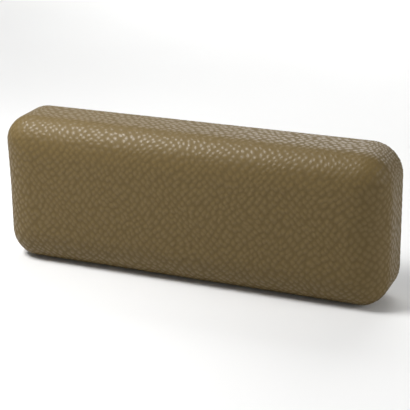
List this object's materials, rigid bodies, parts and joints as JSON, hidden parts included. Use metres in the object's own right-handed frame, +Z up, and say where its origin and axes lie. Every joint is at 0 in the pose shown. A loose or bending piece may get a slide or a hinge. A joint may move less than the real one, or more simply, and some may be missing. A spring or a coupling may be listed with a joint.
{
  "type": "face cradle cushion",
  "caption": "Firm rectangular face pad with rounded front edges, in pebble-grained vinyl over foam and a plywood board, with a rectangle of tee nuts behind.",
  "frame": {"origin": "middle of the lower long side, at the lowest point, halfway through the depth", "axes": "+X along the pad's length, -Y out of the padded front, +Y out of the back with the tee nuts, +Z up with the pad standing on its long side"},
  "size_m": [0.305, 0.05, 0.115],
  "materials": {
    "cover": "olive-taupe pebble-grained vinyl with a soft satin sheen",
    "wadding": "loose white polyester fibre",
    "comfort_foam": "soft open-cell polyurethane foam",
    "support_foam": "firm open-cell polyurethane foam",
    "base_board": "birch plywood, sanded",
    "tee_nuts": "zinc-plated steel",
    "dust_cover": "black spun-bonded non-woven with a point-bonded pattern",
    "staples": "galvanised wire"
  },
  "bodies": {
    "root": {"cover": "cover", "wadding": "wadding", "comfort_foam": "comfort_foam", "support_foam": "support_foam", "base_board": "base_board", "tee_nut_left_bottom": "tee_nuts", "tee_nut_left_top": "tee_nuts", "tee_nut_right_bottom": "tee_nuts", "tee_nut_right_top": "tee_nuts", "dust_cover": "dust_cover", "cover_staples_bottom": "staples", "cover_staples_top": "staples", "cover_staples_left": "staples", "cover_staples_right": "staples", "cover_staples_corners": "staples", "dust_cover_staples_bottom": "staples", "dust_cover_staples_top": "staples", "dust_cover_staples_left": "staples", "dust_cover_staples_right": "staples"}
  },
  "joints": []
}
